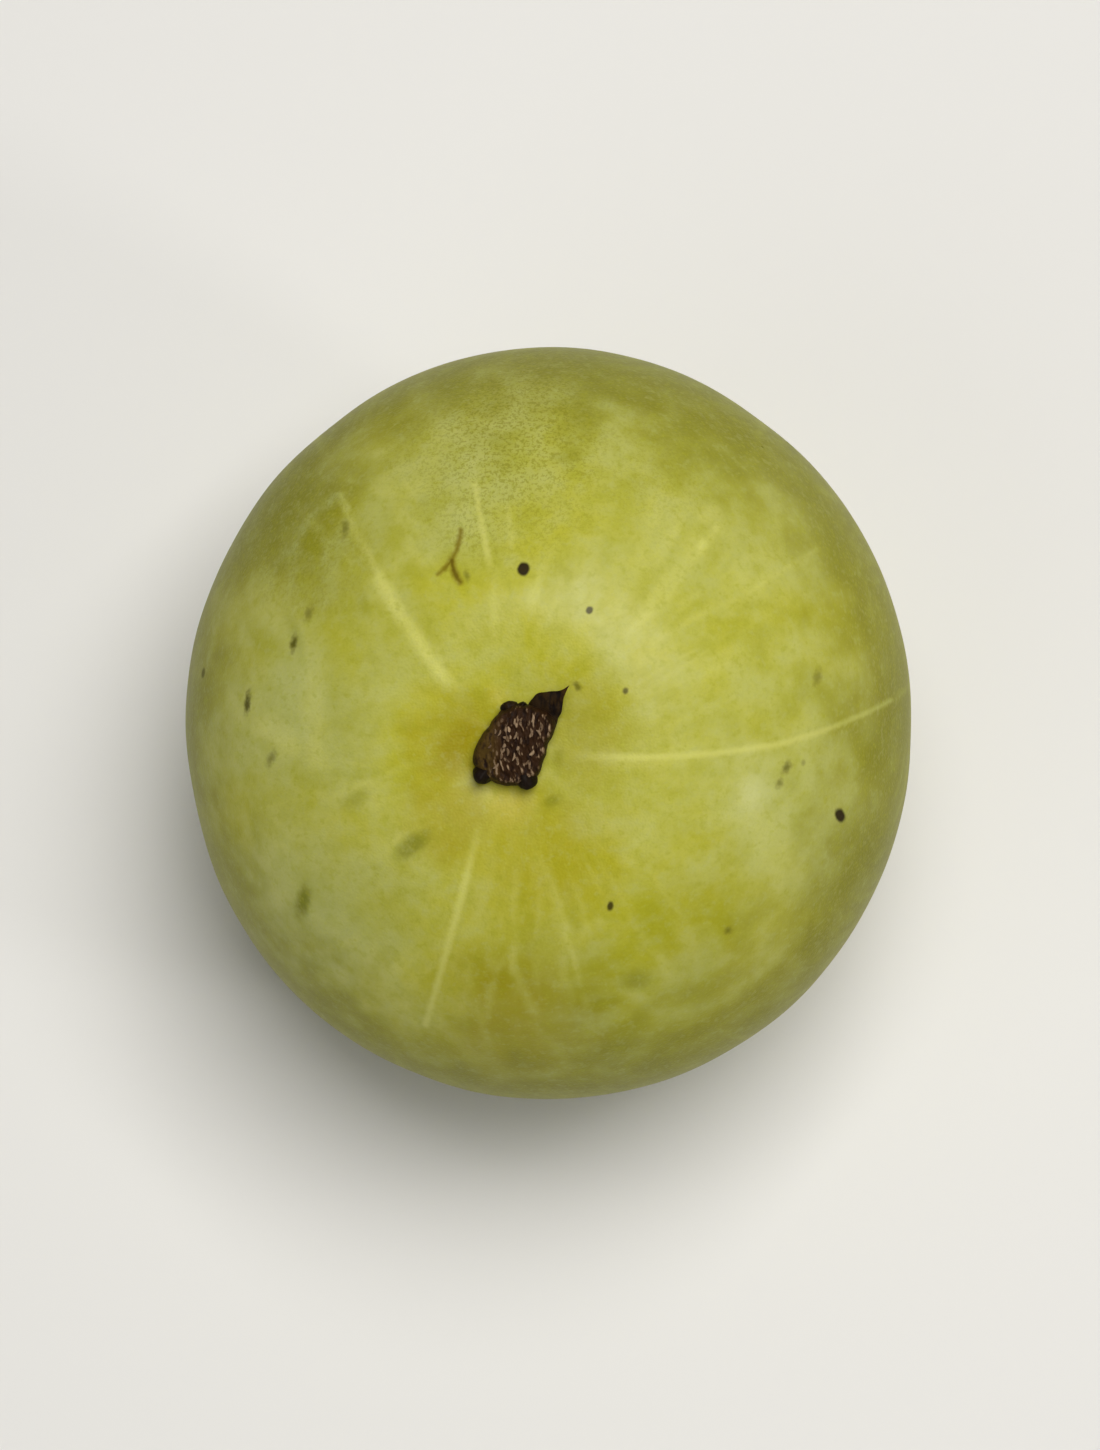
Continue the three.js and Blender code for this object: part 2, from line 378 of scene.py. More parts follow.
SCAR_FROM_STEM = math.asin(SCAR_RADIUS / (FRUIT_WIDTH / 2))
SCAR_HEIGHT = 0.0  # until the skin's height at the edge of the scar is known
SCAR_HEIGHT = float(skin_points(np.array(0.0), np.array(SCAR_FROM_STEM))[2])


def skin_relief(point, from_stem):
    """The low relief on the skin at a point: slow swellings, and puckers round both ends."""
    swelling = 0.12 * noise.noise(point / 11) + 0.03 * noise.noise(point / 3.5)
    around = Vector((point.x, point.y, 0)).normalized() * 3
    near_end = math.exp(-((math.sin(from_stem) / 0.32) ** 2))
    return swelling + 0.07 * near_end * noise.noise(around + Vector((0, 0, from_stem)))


def grid_faces(rings, around):
    """Quads between rings of points that each close on themselves."""
    faces = []
    for ring in range(rings - 1):
        for step in range(around):
            a, b = ring * around + step, ring * around + (step + 1) % around
            faces.append((a, a + around, b + around, b))
    return faces


def loft_faces(rings, around):
    """The faces of a closed shape through rings, flat at both ends."""
    last = (rings - 1) * around
    ends = [tuple(range(around)), tuple(reversed(range(last, last + around)))]
    return grid_faces(rings, around) + ends


def make_piece(name, points, faces, material, node=None):
    """A smooth-shaded mesh piece of the object, from points in the fruit's frame."""
    mesh = bpy.data.meshes.new(name)
    mesh.from_pydata([on_table(p) for p in points], [], faces)
    mesh.shade_smooth()
    mesh.materials.append(material)
    piece = bpy.data.objects.new(name, mesh)
    bpy.context.scene.collection.objects.link(piece)
    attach(piece, "root")
    if node:
        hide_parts(node)
    return piece


def add_values(piece, name, values):
    """Keeps one value for each point of a piece, for its material to read."""
    attribute = piece.data.attributes.new(name, "FLOAT", "POINT")
    attribute.data.foreach_set("value", values)


def lowest_of_solid():
    """How far below its middle the leaning fruit reaches, before its rest spot is pressed flat."""
    direction, from_stem = np.meshgrid(np.linspace(0, 2 * math.pi, 361), np.linspace(0, math.pi, 721))
    points = skin_points(direction, from_stem).reshape(-1, 3)
    return float((points @ np.array(LEAN.to_3x3()).T)[:, 2].min())


REST_LEVEL = lowest_of_solid() + REST_SPOT_SINK
MIDDLE = Vector((0, 0, -REST_LEVEL)) * MM


def on_table(point):
    """A point of the fruit's frame, in millimetres, as it lies on the table, in metres."""
    return MIDDLE + (LEAN @ Vector(point)) * MM


# --- Fruit skin -----------------------------------------------------------------------------------

SKIN_AROUND = 436
STEM_END_RINGS = 144
OTHER_RINGS = 82
STEM_END_REACH = 1.31  # radians from the stem end; the rings lie closer together up to here
POLE_GAP = 0.004  # radians from each end to the nearest ring

# What marks the skin round the stem end, seen from there with X to the right and Y to the back.
# Each line is start, end, width, bow, taper, strength.
SOFT_VEINS_AND_PAINTED_LIGHT = (
    ((-2.4, 1.8), (-6.6, 7.6), 1.25, 0.1, 0.0, 0.85),
    ((-4.3, 4.3), (-8.9, 11.3), 1.0, 0.1, 0.35, 0.9),
    ((-0.25, 8.9), (-0.5, 10.9), 0.6, 0.0, 0.2, 0.5),
    ((-0.9, 4.6), (-1.0, 8.0), 0.7, 0.1, 0.2, 0.3),
    ((0.4, 5.4), (1.8, 9.4), 1.0, 0.1, 0.3, 0.45),
    ((5.0, 4.6), (8.7, 10.6), 1.7, -0.3, 0.2, 0.45),
    ((8.3, 8.6), (9.0, 9.8), 1.0, 0.0, 0.2, 0.9),
    ((6.6, 4.9), (13.6, 8.9), 0.7, -0.2, 0.3, 0.4),
    ((1.1, -5.2), (2.6, -10.6), 0.7, 0.15, 0.3, 0.35),
    ((0.1, -5.4), (-0.3, -10.9), 0.7, 0.0, 0.2, 0.25),
    ((3.6, -4.6), (6.6, -10.8), 0.7, -0.2, 0.3, 0.2),
    ((-3.6, -0.6), (-12.5, -3.4), 0.7, 0.3, 0.4, 0.25),
    # The last two are broad pale patches, not veins: partly the milky tint of the left side and partly
    # painted light that brightens its left middle.
    ((-9.9, 3.6), (-9.5, -1.0), 2.2, 0.0, 0.0, 0.45),
    ((-12.9, 1.2), (-11.0, -0.4), 2.2, 0.0, 0.0, 0.4),
)
CRISP_VEINS = (
    ((-1.2, 7.8), (-2.2, 11.9), 0.6, 0.0, 0.2, 0.7),
    ((2.9, -0.6), (12.3, -0.15), 0.62, -0.25, 0.1, 0.7),
    ((10.4, -0.50), (17.0, 1.5), 0.62, -0.25, 0.3, 0.6),
    ((-1.7, -3.9), (-4.9, -13.8), 0.72, 0.2, 0.2, 0.75),
)
CRACKS = (
    ((-2.75, 9.8), (-3.1, 8.4), 0.44, 0.1, 0.0, 0.8),
    ((-3.1, 8.4), (-2.65, 7.4), 0.62, -0.08, 0.1, 1.0),
    ((-3.15, 8.35), (-3.75, 7.75), 0.46, 0.05, 0.2, 0.9),
)
# Each spot is start, end, width, softness of the edge, strength.
BROWN_SPOTS = (
    ((0.30, 7.98), (0.32, 8.04), 0.72, 0.40, 1.0),
    ((3.40, 6.10), (3.42, 6.13), 0.44, 0.55, 0.85),
    ((5.10, 2.35), (5.12, 2.46), 0.36, 0.70, 0.75),
    ((14.82, -3.95), (14.72, -3.60), 0.56, 0.50, 1.0),
    ((4.30, -7.80), (4.36, -7.55), 0.40, 0.65, 0.9),
)
OLIVE_STREAKS = (
    ((-10.9, 4.1), (-10.75, 4.8), 0.62, 1.0, 0.95),
    ((-13.35, 1.0), (-13.2, 2.1), 0.54, 0.9, 1.0),
    ((-12.1, -1.3), (-11.8, -0.7), 0.66, 1.0, 0.6),
    ((-8.55, 9.5), (-8.45, 10.2), 0.62, 1.0, 0.55),
    ((-10.2, 5.6), (-10.0, 6.1), 0.66, 1.0, 0.55),
    ((12.3, -1.5), (12.5, -1.1), 0.60, 1.0, 0.75),
    ((12.0, -2.15), (12.1, -1.95), 0.55, 1.0, 0.6),
    ((13.7, 2.5), (13.8, 3.2), 0.62, 1.0, 0.45),
    ((9.6, -9.1), (9.7, -9.0), 0.6, 1.0, 0.6),
    ((2.75, 2.75), (3.0, 2.45), 0.50, 1.0, 0.7),
    ((-2.35, 7.85), (-2.3, 7.55), 0.50, 1.0, 0.5),
)
OLIVE_SMEARS = (
    ((-5.5, -5.2), (-4.1, -4.4), 1.25, 0.7, 0.75),
    ((-10.9, -8.7), (-10.4, -7.2), 1.1, 0.8, 1.0),
    ((1.6, 13.2), (2.7, 13.4), 1.1, 1.0, 0.45),
    ((1.4, -2.9), (1.9, -2.6), 0.8, 0.9, 0.6),
    ((-8.2, -3.0), (-7.0, -2.5), 1.2, 0.9, 0.4),
    ((5.0, -11.4), (5.6, -11.2), 1.6, 1.0, 0.6),
    ((-11.2, 5.8), (-10.4, 3.9), 1.2, 1.0, 0.4),
    ((2.1, -0.2), (1.9, -1.2), 0.9, 1.0, 0.45),
    ((-7.5, 6.6), (-7.3, 5.9), 1.0, 1.0, 0.3),
)
# Broad areas of another tint, some partly painted shade: middle, radius, strength.
MILKY_AREAS = (
    ((-10.8, 1.8), 5.6, 0.95),
    ((-8.6, -0.6), 3.6, 0.6),
    ((12.0, 2.6), 4.5, 0.5),
    ((-9.4, -8.8), 6.5, 0.9),
    ((8.5, 9.8), 8.0, 0.5),
    ((12.2, -3.2), 6.2, 0.8),
    ((-2.5, 12.0), 5.5, 0.6),
    ((5.0, 14.0), 5.5, 0.5),
    ((3.5, 6.5), 4.5, 0.15),
)
# The golden tint round the stem end. The first two areas, left of and below-left of the stump, are partly
# painted shade beside the stump and its basin.
GOLDEN_AND_STUMP_SHADE_AREAS = (
    ((-2.7, -0.2), 3.4, 0.95),
    ((-2.4, -3.4), 3.4, 0.65),
    ((-0.5, -13.2), 5.0, 0.6),
    ((1.0, -5.0), 5.5, 0.45),
    ((3.4, 0.6), 4.0, 0.35),
)
# Olive areas round the rim as seen from above: partly the skin's olive tint and partly painted shade at the
# rim.
OLIVE_AND_RIM_SHADE_AREAS = (
    ((-12.0, 10.0), 7.0, 0.85),
    ((1.8, -12.8), 6.0, 0.65),
    ((-16.0, 2.0), 4.0, 0.4),
    ((15.5, -7.0), 4.5, 0.5),
    ((9.0, -10.0), 6.5, 0.3),
    ((17.0, 1.0), 4.5, 0.5),
)
TAN_AREAS = (
    ((-0.2, -2.9), 1.6, 0.55),
    ((-0.9, 2.2), 0.8, 0.4),
)
GRAINY_AREAS = (
    ((-1.0, 14.5), 7.5, 1.0),
    ((-11.0, 9.5), 5.0, 0.6),
    ((6.0, 13.5), 5.0, 0.25),
)
# The pale sutures on the sides: direction round the stem, strength.
SUTURES = (
    (5, 0.6),
    (29, 0.2),
    (54, 0.5),
    (96, 0.25),
    (128, 0.8),
    (160, 0.25),
    (192, 0.6),
    (221, 0.2),
    (250, 0.8),
    (279, 0.25),
    (302, 0.5),
    (333, 0.2),
)
SUTURE_WIDTH = 0.36

YELLOW_GREEN = rgb(0.47, 0.45, 0.028)
MILKY_GREEN = rgb(0.46, 0.475, 0.150)
GOLDEN = rgb(0.33, 0.275, 0.001)
LEAF_OLIVE = rgb(0.335, 0.340, 0.016)
DEEP_OLIVE = rgb(0.195, 0.190, 0.001)
VEIN_CREAM = rgb(0.66, 0.65, 0.18)
SUTURE_GREEN = rgb(0.50, 0.50, 0.05)
CORK_BROWN = rgb(0.028, 0.017, 0.001)
CRACK_GOLD = rgb(0.185, 0.130, 0.002)
SMEAR_OLIVE = rgb(0.185, 0.195, 0.002)
STREAK_OLIVE = rgb(0.088, 0.080, 0.001)
SCAR_TAN = rgb(0.52, 0.44, 0.060)
BLUSH_TAN = rgb(0.36, 0.21, 0.055)


def on_skin(direction, from_stem):
    """The point of the skin at these degrees round the stem and from the stem end."""
    return Vector(skin_points(np.radians(direction), np.radians(from_stem)))


def hidden_marks():
    """Marks on the sides and underside, as rows like the spots above."""
    return (
        (on_skin(59, 94), on_skin(65, 100), 0.9, 0.9, 0.8),
        (on_skin(61, 97), on_skin(69, 97), 0.6, 0.9, 0.6),
        (on_skin(118, 84), on_skin(119, 86), 0.45, 0.6, 0.9),
        (on_skin(171, 108), on_skin(174, 111), 0.40, 0.8, 0.7),
        (on_skin(263, 104), on_skin(265, 105), 0.55, 0.5, 0.9),
        (on_skin(338, 99), on_skin(341, 105), 0.4, 0.9, 0.6),
        (on_skin(17, 130), on_skin(22, 128), 0.45, 0.8, 0.7),
        (on_skin(205, 140), on_skin(206, 142), 0.4, 0.6, 0.8),
    )


def hidden_blushes():
    """Faint tan blushes on the underside, as rows like the areas above."""
    return ((on_skin(146, 141), 5.5, 0.7), (on_skin(318, 126), 3.6, 0.5))


def soft_noise(points, scale, octaves=1):
    """Noise round a half at each of these points, in swells about 1 / scale across."""
    total = np.zeros(len(points))
    for octave in range(octaves):
        swells = points * scale * 2**octave
        values = [noise.noise(Vector(place), noise_basis="PERLIN_NEW") for place in swells]
        total += np.array(values) / 2**octave
    return 0.5 + total / (4 - 2 ** (2 - octaves))


def line_share(places, lines, wobble, start):
    """How much of each place these lines cover. Each starts at this share of its strength."""
    whole = np.zeros(len(places))
    for first, last, width, bow, taper, strength in lines:
        span = np.subtract(last, first)
        length = np.hypot(*span)
        side = np.array((-span[1], span[0])) * 4 * bow / length
        away = places - np.array(first)
        along = np.clip(away @ span / length**2, 0, 1)
        on_line = np.outer(along, span) + np.outer(along * (1 - along), side)
        distance = np.linalg.norm(away - on_line, axis=1) + wobble
        kept = 1 - taper * along
        risen = start + (1 - start) * np.clip(along * 4, 0, 1)
        covered = soft_step(distance, width / 2 * kept, 0) * kept * risen * strength
        whole = np.maximum(whole, covered)
    return whole


def spot_share(places, spots, wobble):
    """How much of each place these spots cover."""
    whole = np.zeros(len(places))
    for first, last, width, softness, strength in spots:
        span = np.subtract(last, first)
        length = np.linalg.norm(span)
        ahead = span / length
        away = places - (np.array(first) + last) / 2
        along = away @ ahead
        shortened = away - np.outer(along * length / (length + width), ahead)
        distance = np.linalg.norm(shortened, axis=1) + wobble
        covered = soft_step(distance, width / 2, width / 2 * (1 - softness)) * strength
        whole = np.maximum(whole, covered)
    return whole


def area_share(places, areas):
    """How much of each place these broad areas cover, fading slowly from their middles."""
    whole = np.zeros(len(places))
    for middle, radius, strength in areas:
        distance = np.linalg.norm(places - np.array(middle), axis=1)
        whole = np.maximum(whole, soft_step(distance, radius, radius * 0.15) * strength)
    return whole


def suture_share(points, sway):
    """How much of each point the pale lines on the sides cover, each in a plane through the axis."""
    whole = np.zeros(len(points))
    for direction, strength in SUTURES:
        turn = math.radians(direction)
        across = points[:, 1] * math.cos(turn) - points[:, 0] * math.sin(turn)
        ahead = points[:, 0] * math.cos(turn) + points[:, 1] * math.sin(turn) > 0
        line = soft_step(np.abs(across + sway), SUTURE_WIDTH, 0) * ahead
        whole = np.maximum(whole, line * strength)
    return whole


def vein_net(around, down):
    """Thin lines that run from end to end of the fruit, and branch and meet as veins do."""
    places = np.column_stack([around * 4.5, down / 0.45])
    sway = np.column_stack([soft_noise(places + shift, 0.9) for shift in (0, 20, 40)]) - 0.5
    gaps = []
    for place in places + sway * 1.3:
        near, next_near, _, _ = noise.voronoi(Vector(place))[0]
        gaps.append(next_near - near)
    return soft_step(np.array(gaps), 0.2, 0)


def painted(colour, layers):
    """This colour under layers of (share, colour), the last on top, for arrays of places."""
    for share, tint in layers:
        colour = colour + (np.array(tint) - colour) * share[:, None]
    return colour


def skin_ground(points, direction, down):
    """The colour at each point of the skin, under its dark marks, and how grainy it is there:
    yellow-green, milky and olive, rayed, mottled and veined, with painted shade round its middle,
    at its rim as seen from above and beside the stump, and painted light on its left side."""
    from_flower = math.pi - down
    stem_half = points[:, 2] > -1
    plan = points[:, :2]
    sway = np.column_stack([soft_noise(points + shift, 0.35, 2) for shift in (0, 50)]) - 0.5
    warped, nudged = plan + sway * 3.5, plan + sway * 0.6
    wobble = (soft_noise(points, 4.0) - 0.5) * 0.15
    clouds = soft_step(soft_noise(points + 10, 0.16, 2), 0.42, 0.62)
    blotches = soft_noise(points, 0.42, 3)
    mottle = soft_noise(points, 1.1, 3)
    uneven = soft_step(soft_noise(points, 0.7, 2), 0.3, 0.62)
    patches = soft_step(soft_noise(points, 0.13), 0.36, 0.6)

    turn = direction + (soft_noise(points, 0.08) - 0.5) * 0.9
    around = np.column_stack([np.cos(turn), np.sin(turn)])
    broad_rays = soft_noise(np.column_stack([around * 3.2, down / 0.8]), 1, 3)
    fine_rays = soft_noise(np.column_stack([around * 12, down / 0.24]), 1, 2)
    hairs = soft_noise(np.column_stack([around * 32, down / 0.08]), 1)
    net = vein_net(around, down)

    shoulder = soft_step(down, 0.15, 0.55) * soft_step(down, 1.25, 0.75)
    side = soft_step(down, 1.05, 1.40)
    # Painted shade: a darker olive band round the middle of the fruit stands for the shade at its rim as seen
    # from above.
    low = down + (blotches - 0.5) * 0.6
    painted_rim_shade = soft_step(low, 0.72, 1.3) * soft_step(low, 2.5, 1.7)
    ring = patches * shoulder
    drift = (soft_noise(points + 30, 0.12) - 0.5) * 3.0
    marks = spot_share(points, hidden_marks(), wobble)
    broken = (0.3 + 0.7 * uneven) * side * soft_step(from_flower, 0.07, 0.3)
    layers = (
        (clouds * 0.38, MILKY_GREEN),
        (area_share(warped, MILKY_AREAS) * stem_half, MILKY_GREEN),
        # Olive areas: partly olive tint, partly painted shade at the rim.
        (area_share(warped, OLIVE_AND_RIM_SHADE_AREAS) * stem_half, DEEP_OLIVE),
        (soft_step(blotches, 0.42, 0.70) * 0.28, LEAF_OLIVE),
        (soft_step(blotches, 0.56, 0.30) * 0.36, MILKY_GREEN),
        (soft_step(mottle, 0.46, 0.70) * 0.30, LEAF_OLIVE),
        (soft_step(mottle, 0.54, 0.30) * 0.26, MILKY_GREEN),
        (soft_step(broad_rays, 0.5, 0.72) * 0.2, VEIN_CREAM),
        (soft_step(broad_rays, 0.5, 0.3) * 0.14, LEAF_OLIVE),
        # Golden areas: partly golden tint, partly painted shade beside the stump.
        (area_share(warped, GOLDEN_AND_STUMP_SHADE_AREAS) * stem_half, GOLDEN),
        # Painted shade: the darker olive band round the middle.
        (painted_rim_shade * 0.82, DEEP_OLIVE),
        (soft_step(fine_rays, 0.52, 0.80) * ring * 0.25, VEIN_CREAM),
        (soft_step(fine_rays, 0.50, 0.25) * shoulder * 0.2, LEAF_OLIVE),
        (soft_step(fine_rays, 0.46, 0.80) * side * 0.16, SUTURE_GREEN),
        (soft_step(hairs, 0.46, 0.80) * side * 0.18, SUTURE_GREEN),
        (net * uneven * ring * 0.22, VEIN_CREAM),
        # Soft pale veins, and broad pale patches of painted light on the left.
        (line_share(nudged, SOFT_VEINS_AND_PAINTED_LIGHT, wobble, 0.1) * stem_half * (0.55 + 0.45 * uneven) * 0.85, VEIN_CREAM),
        (suture_share(points, drift + wobble) * broken * 0.6, SUTURE_GREEN),
        (soft_step(from_flower + wobble, 0.34, 0.02) * 0.6, BLUSH_TAN),
        (area_share(points, hidden_blushes()) * 0.5, BLUSH_TAN),
        (area_share(nudged, TAN_AREAS) * stem_half, SCAR_TAN),
        (spot_share(nudged, OLIVE_SMEARS, wobble) * stem_half * 0.95, SMEAR_OLIVE),
        (marks * 0.9, CRACK_GOLD),
        (soft_step(marks, 0.6, 1.0) * 0.6, CORK_BROWN),
    )
    grainy = 0.07 + area_share(warped, GRAINY_AREAS) * stem_half * 0.45
    return painted(np.tile(YELLOW_GREEN, (len(points), 1)), layers), grainy


def strokes(graph, stroke, where, ragged, lines, start=1.0):
    """The masks of these lines together, each at its own strength."""
    masks = []
    for first, last, width, bow, taper, strength in lines:
        span = (Vector(last) - Vector(first)).to_3d()
        inputs = {
            "Place": where,
            "From": Vector(first).to_3d(),
            "Span": span,
            "Ahead": span / span.length_squared,
            "Side": Vector((0, 0, 1)).cross(span.normalized()) * 4 * bow,
            "Half Width": width / 2,
            "Taper": taper,
            "Start": start,
            "Ragged": ragged,
        }
        masks.append(graph.product(graph.group(stroke, inputs)["Mask"], strength))
    return graph.most(*masks)


def blots(graph, blot, where, ragged, spots):
    """The masks of these spots together, each at its own strength."""
    masks = []
    for start, end, width, softness, strength in spots:
        first, last = Vector(start).to_3d(), Vector(end).to_3d()
        span = last - first
        slimness = span.length / (span.length + width)
        inputs = {
            "Place": where,
            "Middle": (first + last) / 2,
            "Along": span.normalized() * math.sqrt(slimness),
            "Edge": width / 2,
            "Core": width / 2 * (1 - softness),
            "Ragged": ragged,
        }
        masks.append(graph.product(graph.group(blot, inputs)["Mask"], strength))
    return graph.most(*masks)


def skin_material():
    """Waxy, slightly translucent skin: the ground's colour, painted shade and light included, with its grain,
    crisp veins and marks.
    """
    material, graph, shader = make_material("waxy_fruit_skin")
    place = place_on_fruit(graph)
    plan, down = seen_from_stem(graph, place)
    ground = graph.node("ShaderNodeAttribute", attribute_name="ground").outputs["Color"]
    grainy = graph.node("ShaderNodeAttribute", attribute_name="grainy").outputs["Fac"]
    fine_grains = graph.noise(place, 5.5, detail=2, roughness=0.8)
    flecks = graph.noise(place, 2.3, detail=2, roughness=0.6)
    pale_grains = graph.step(graph.cells(place, 4.2)[0], 0.42, 0.12)
    rough_edge = graph.maths("SUBTRACT", graph.noise(place, 4.0, detail=1), 0.5)
    rounded, ragged, torn = (graph.product(rough_edge, depth) for depth in (0.06, 0.15, 0.24))
    side = graph.step(down, 1.05, 1.40)

    stroke, blot = make_stroke(), make_blot()
    veins = strokes(graph, stroke, plan, ragged, CRISP_VEINS, start=0.1)
    cracks = strokes(graph, stroke, plan, ragged, CRACKS)
    strewn_share = graph.total(0.10, graph.product(side, 0.45))
    strewn = {"Place": place, "Spacing": 3.3, "Size": 0.3, "Share": strewn_share}
    strewn_specks = graph.group(make_scattered_specks(), strewn)["Mask"]
    brown = graph.most(
        graph.product(graph.step(cracks, 0.75, 1.0), 0.3),
        graph.product(strewn_specks, graph.total(0.55, graph.product(side, 0.3))),
        blots(graph, blot, plan, rounded, BROWN_SPOTS),
    )
    colour = graph.painted(
        ground,
        (
            (graph.product(graph.step(flecks, 0.52, 0.72), 0.34), LEAF_OLIVE),
            (graph.product(graph.step(flecks, 0.48, 0.28), 0.22), MILKY_GREEN),
            (graph.product(pale_grains, 0.15), SUTURE_GREEN),
            (graph.product(graph.step(fine_grains, 0.47, 0.62), grainy), DEEP_OLIVE),
            (graph.product(veins, 0.75), VEIN_CREAM),
            (blots(graph, blot, plan, torn, OLIVE_STREAKS), STREAK_OLIVE),
            (cracks, CRACK_GOLD),
            (brown, CORK_BROWN),
        ),
    )
    graph.feed(shader.inputs["Base Color"], colour)
    dull = graph.total(0.38, graph.product(fine_grains, 0.1), graph.product(brown, 0.3))
    graph.feed(shader.inputs["Roughness"], dull)
    dimples = graph.noise(place, 9.0, detail=0)
    bump = graph.node("ShaderNodeBump", {"Strength": 0.5, "Distance": 0.00003, "Height": dimples})
    graph.feed(shader.inputs["Normal"], bump.outputs[0])
    waxy = graph.most(graph.step(down, 1.2, 0.7), graph.step(down, 1.9, 2.4))
    graph.feed(shader.inputs["Coat Weight"], graph.product(waxy, 0.18))
    shader.inputs["Coat Roughness"].default_value = 0.22
    shader.inputs["IOR"].default_value = 1.38
    shader.inputs["Specular IOR Level"].default_value = 0.14
    shader.inputs["Subsurface Weight"].default_value = 0.3
    shader.inputs["Subsurface Radius"].default_value = (1.0, 0.8, 0.15)
    shader.inputs["Subsurface Scale"].default_value = 0.0012
    return material


def make_skin():
    """The whole skin, from the middle of the scar to the flower end, with its rest spot flat."""
    direction = np.linspace(0, 2 * math.pi, SKIN_AROUND, endpoint=False)
    near = np.linspace(POLE_GAP, STEM_END_REACH, STEM_END_RINGS, endpoint=False)
    far = np.linspace(STEM_END_REACH, math.pi - POLE_GAP, OTHER_RINGS)
    from_stem = np.append(near, far)
    rounds, downs = (grid.reshape(-1) for grid in np.meshgrid(direction, from_stem))
    smooth = skin_points(rounds, downs)
    points = []
    for plain, down in zip(smooth, downs):
        point = Vector(plain)
        point += point.normalized() * skin_relief(point, down)
        points.append(point)
    faces = loft_faces(len(from_stem), SKIN_AROUND)
    skin = make_piece("fruit_skin", points, faces, skin_material(), "fruit")
    for vertex in skin.data.vertices:
        vertex.co.z = max(vertex.co.z, 0)
    ground, grainy = skin_ground(smooth, rounds, downs)
    # As plain vectors, because an exported model multiplies its textures by any colours of the mesh.
    tints = skin.data.attributes.new("ground", "FLOAT_VECTOR", "POINT")
    tints.data.foreach_set("vector", ground[:, :3].reshape(-1))
    add_values(skin, "grainy", grainy)


# --- Dry stump, its torn fibres and the calyx lobes ------------------------------------------------

STUMP_AROUND = 210
STUMP_TOP_RINGS = 54
STUMP_WALL_RINGS = 20
FIBRE_DRAWS = 420  # of which only those on the torn part are kept
SPLINTER_RINGS = (-1, -0.8, -0.4, 0, 0.4, 0.8, 1)  # places along a fibre, from end to end
SPLINTER_SIDES = 6
LOBE_RINGS = 34
LOBE_AROUND = 36
BARK_BROWN = rgb(0.046, 0.018, 0.004)
BARK_DARK = rgb(0.012, 0.004, 0.001)
BARK_OLIVE = rgb(0.068, 0.038, 0.005)
# Pale torn fibre; on the crests of the torn end it also stands for painted glints.
FIBRE_BEIGE_AND_GLINT = rgb(0.36, 0.25, 0.15)
CALYX_BLACK = rgb(0.005, 0.002, 0.0008)
CALYX_BROWN = rgb(0.046, 0.023, 0.004)
# How brown each lobe is at its foot and at its tip. The long pointed lobe's dark foot is painted shade where
# it goes in under the stump's edge.
LOBE_BROWNNESS_AND_FOOT_SHADE = ((0.15, 1.0), (0.6, 0.3), (0.6, 0.3), (0.05, 0.05), (0.08, 0.08))


def smooth_through(values, turn):
    """A value on the smooth curve through these values, each one step after the last."""
    first = math.floor(turn)
    t = turn - first
    a, b, c, d = (values[min(max(first + k, 0), len(values) - 1)] for k in (-1, 0, 1, 2))
    return b + t / 2 * (c - a + t * (2 * a - 5 * b + 4 * c - d + t * (3 * (b - c) + d - a)))


def stump_radius(direction):
    """From the stump's middle to the edge of its foot, round which STUMP_OUTLINE goes three times."""
    steps = len(STUMP_OUTLINE)
    return smooth_through(STUMP_OUTLINE * 3, direction / (2 * math.pi) % 1 * steps + steps)


def torn_end(x, y):
    """The relief of the torn end at a point and how pale it is there: its fibres run from front to
    back, and stand out most in the middle and on the right. The pale crests are partly painted glints."""
    torn = soft_step(x - 0.25 * y, -1.15, -0.2)
    bend = x + 0.10 * y - 0.07 * y * y
    fibre = noise.noise(Vector((bend * 5.6, y * 2.5, 7.1)))
    thread = noise.noise(Vector((bend * 10.5, y * 4.6, 1.7)))
    lump = noise.noise(Vector((x * 1.3, y * 1.1, 2.4)))
    relief = 0.13 * lump + (0.03 + 0.08 * torn) * fibre + (0.01 + 0.06 * torn) * thread
    crest = soft_step(fibre + thread, 0.24, 0.6)
    return relief, crest * torn


def dome(share):
    """Height of the torn end at this share of the way to the edge, as a share of the stump's."""
    return 1 - STUMP_DOME * (share / STUMP_TOP_SHARE) ** 2


def stump_rings():
    """(share of the outline, share of the height, how much of it is torn end) for each ring."""
    top = [(share, dome(share), 1.0) for share in np.linspace(0.02, STUMP_TOP_SHARE, STUMP_TOP_RINGS)]
    wall = []
    for turn in np.linspace(0, math.pi / 2, STUMP_WALL_RINGS + 1)[1:]:
        share = STUMP_TOP_SHARE + (1 - STUMP_TOP_SHARE) * math.sin(turn) ** 1.2
        wall.append((share, (1 - STUMP_DOME) * math.cos(turn) ** 0.6, math.cos(turn)))
    return top + wall


